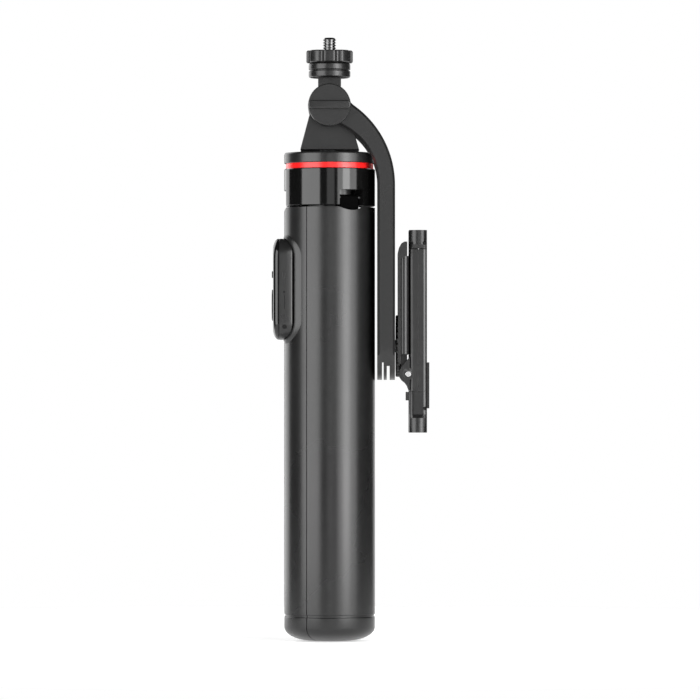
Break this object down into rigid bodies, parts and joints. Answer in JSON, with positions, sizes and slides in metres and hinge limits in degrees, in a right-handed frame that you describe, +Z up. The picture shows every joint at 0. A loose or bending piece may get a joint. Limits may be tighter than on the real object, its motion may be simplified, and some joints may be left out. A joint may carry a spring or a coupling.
{
  "type": "selfie stick",
  "caption": "Folding selfie stick whose round handle splits into tripod legs, with a telescopic mast, tilting camera screw, folding phone clamp arm and docked remote.",
  "frame": {"origin": "on the mast axis, in the plane that the closed legs stand on", "axes": "+Z up along the mast, +X towards the folded phone arm, -Y towards the thumb knob"},
  "size_m": [0.0754, 0.0435, 0.2892],
  "materials": {
    "shell_black": "satin, fine spark texture",
    "collar_gloss": "polished",
    "accent_red": "semi-gloss",
    "mast_aluminium": "black anodised",
    "pin_steel": "turned",
    "screw_chrome": "plated",
    "rubber_black": "matte",
    "board_green": "solder mask"
  },
  "bodies": {
    "hub": {"hub_collar": "collar_gloss", "accent_ring": "accent_red", "hub_cap": "shell_black", "leg_hinge_pin_left": "pin_steel", "leg_hinge_pin_front": "pin_steel", "leg_hinge_pin_rear": "pin_steel"},
    "leg_left": {"leg_shell_left": "shell_black", "leg_foot_left": "shell_black"},
    "leg_front": {"leg_shell_front": "shell_black", "leg_foot_front": "shell_black"},
    "leg_rear": {"leg_shell_rear": "shell_black", "leg_foot_rear": "shell_black"},
    "mast_1": {"mast_tube_1": "mast_aluminium", "mast_end_plug": "rubber_black"},
    "mast_2": {"mast_tube_2": "mast_aluminium", "mast_glide_2": "rubber_black"},
    "mast_3": {"mast_tube_3": "mast_aluminium", "mast_glide_3": "rubber_black"},
    "mast_4": {"mast_tube_4": "mast_aluminium", "mast_glide_4": "rubber_black"},
    "mast_5": {"mast_tube_5": "mast_aluminium", "mast_glide_5": "rubber_black"},
    "mast_6": {"mast_tube_6": "mast_aluminium", "mast_glide_6": "rubber_black"},
    "head": {"head_fork": "shell_black"},
    "neck": {"neck_block": "shell_black", "camera_screw": "screw_chrome"},
    "lock_wheel": {"lock_wheel": "shell_black"},
    "knob": {"thumb_knob": "shell_black", "pivot_bolt": "pin_steel"},
    "arm_carrier": {"friction_washer_front": "rubber_black", "friction_washer_rear": "rubber_black"},
    "arm": {"arm_yoke": "shell_black", "pivot_nut": "pin_steel"},
    "clamp_mount": {"swivel_disc": "shell_black", "swivel_shaft": "pin_steel", "hinge_plate": "shell_black", "tilt_pin": "pin_steel"},
    "clamp": {"clamp_body": "shell_black", "clamp_cover": "shell_black", "lower_jaw": "shell_black", "lower_finger_pin": "pin_steel", "release_stud": "shell_black", "jaw_spring": "pin_steel"},
    "upper_jaw": {"upper_jaw": "shell_black", "guide_rod_front": "pin_steel", "guide_rod_rear": "pin_steel", "upper_finger_pin": "pin_steel"},
    "lower_finger": {"lower_finger": "shell_black", "lower_finger_pad": "rubber_black"},
    "upper_finger": {"upper_finger": "shell_black", "upper_finger_pad": "rubber_black"},
    "remote": {"remote_case": "shell_black", "remote_cover": "collar_gloss", "remote_board": "board_green", "remote_battery": "pin_steel"},
    "shutter_button": {"shutter_button": "shell_black"},
    "mode_button": {"mode_button": "shell_black"},
    "power_switch": {"power_switch": "shell_black"}
  },
  "joints": [
    {"name": "leg_left_hinge", "type": "hinge", "parent": "hub", "child": "leg_left", "pos_m": [-0.018, 0, 0.212], "axis": [0, 1, 0], "range_deg": [0, 60]},
    {"name": "leg_front_hinge", "type": "hinge", "parent": "hub", "child": "leg_front", "pos_m": [0.009, -0.01559, 0.212], "axis": [-0.866, -0.5, 0], "range_deg": [0, 60]},
    {"name": "leg_rear_hinge", "type": "hinge", "parent": "hub", "child": "leg_rear", "pos_m": [0.009, 0.01559, 0.212], "axis": [0.866, -0.5, 0], "range_deg": [0, 60]},
    {"name": "mast_slide_1", "type": "slide", "parent": "hub", "child": "mast_1", "axis": [0, 0, 1], "range_m": [0, 0.17]},
    {"name": "mast_slide_2", "type": "slide", "parent": "mast_1", "child": "mast_2", "axis": [0, 0, 1], "range_m": [0, 0.17]},
    {"name": "mast_slide_3", "type": "slide", "parent": "mast_2", "child": "mast_3", "axis": [0, 0, 1], "range_m": [0, 0.17]},
    {"name": "mast_slide_4", "type": "slide", "parent": "mast_3", "child": "mast_4", "axis": [0, 0, 1], "range_m": [0, 0.17]},
    {"name": "mast_slide_5", "type": "slide", "parent": "mast_4", "child": "mast_5", "axis": [0, 0, 1], "range_m": [0, 0.17]},
    {"name": "mast_slide_6", "type": "slide", "parent": "mast_5", "child": "mast_6", "axis": [0, 0, 1], "range_m": [0, 0.17]},
    {"name": "head_pan", "type": "hinge", "parent": "mast_6", "child": "head", "pos_m": [0, 0, 0.24], "axis": [0, 0, 1], "range_deg": [-100, 100]},
    {"name": "neck_tilt", "type": "hinge", "parent": "head", "child": "neck", "pos_m": [0, 0, 0.2561], "axis": [0, 1, 0], "range_deg": [-90, 90]},
    {"name": "lock_wheel_turn", "type": "hinge", "parent": "neck", "child": "lock_wheel", "pos_m": [0, 0, 0.28], "axis": [0, 0, 1], "continuous": true},
    {"name": "thumb_knob_turn", "type": "hinge", "parent": "head", "child": "knob", "pos_m": [0, 0, 0.2561], "axis": [0, -1, 0], "continuous": true},
    {"name": "arm_lift", "type": "hinge", "parent": "head", "child": "arm_carrier", "pos_m": [0, 0, 0.2561], "axis": [0, -1, 0], "range_deg": [0, 24]},
    {"name": "arm_fold", "type": "hinge", "parent": "arm_carrier", "child": "arm", "pos_m": [0, 0, 0.2561], "axis": [0, -1, 0], "range_deg": [0, 180]},
    {"name": "clamp_roll", "type": "hinge", "parent": "arm", "child": "clamp_mount", "pos_m": [0.03285, 0, 0.1413], "axis": [1, 0, 0], "range_deg": [-90, 90]},
    {"name": "clamp_tilt", "type": "hinge", "parent": "clamp_mount", "child": "clamp", "pos_m": [0.0376, 0, 0.1278], "axis": [0, 1, 0], "range_deg": [0, 30]},
    {"name": "jaw_slide", "type": "slide", "parent": "clamp", "child": "upper_jaw", "axis": [0, 0, 1], "range_m": [0, 0.03], "stiffness_N_per_m": 100, "springref_m": -0.01, "deforming": ["jaw_spring"]},
    {"name": "lower_finger_fold", "type": "hinge", "parent": "clamp", "child": "lower_finger", "pos_m": [0.04535, 0, 0.1114], "axis": [0, 1, 0], "range_deg": [0, 90]},
    {"name": "upper_finger_fold", "type": "hinge", "parent": "upper_jaw", "child": "upper_finger", "pos_m": [0.04535, 0, 0.1904], "axis": [0, -1, 0], "range_deg": [0, 90]},
    {"name": "remote_release", "type": "slide", "parent": "leg_left", "child": "remote", "axis": [-1, 0, 0], "range_m": [0, 0.03]},
    {"name": "shutter_press", "type": "slide", "parent": "remote", "child": "shutter_button", "axis": [1, 0, 0], "range_m": [0, 0.0005], "stiffness_N_per_m": 1500, "springref_m": -0.0004},
    {"name": "mode_press", "type": "slide", "parent": "remote", "child": "mode_button", "axis": [1, 0, 0], "range_m": [0, 0.0005], "stiffness_N_per_m": 1200, "springref_m": -0.0004},
    {"name": "power_switch_slide", "type": "slide", "parent": "remote", "child": "power_switch", "axis": [0, 0, 1], "range_m": [0, 0.003]}
  ],
  "couplings": [
    {"joint": "leg_rear_hinge", "follows": "leg_front_hinge", "ratio": 1},
    {"joint": "arm_lift", "follows": "leg_front_hinge", "ratio": 0.4}
  ]
}
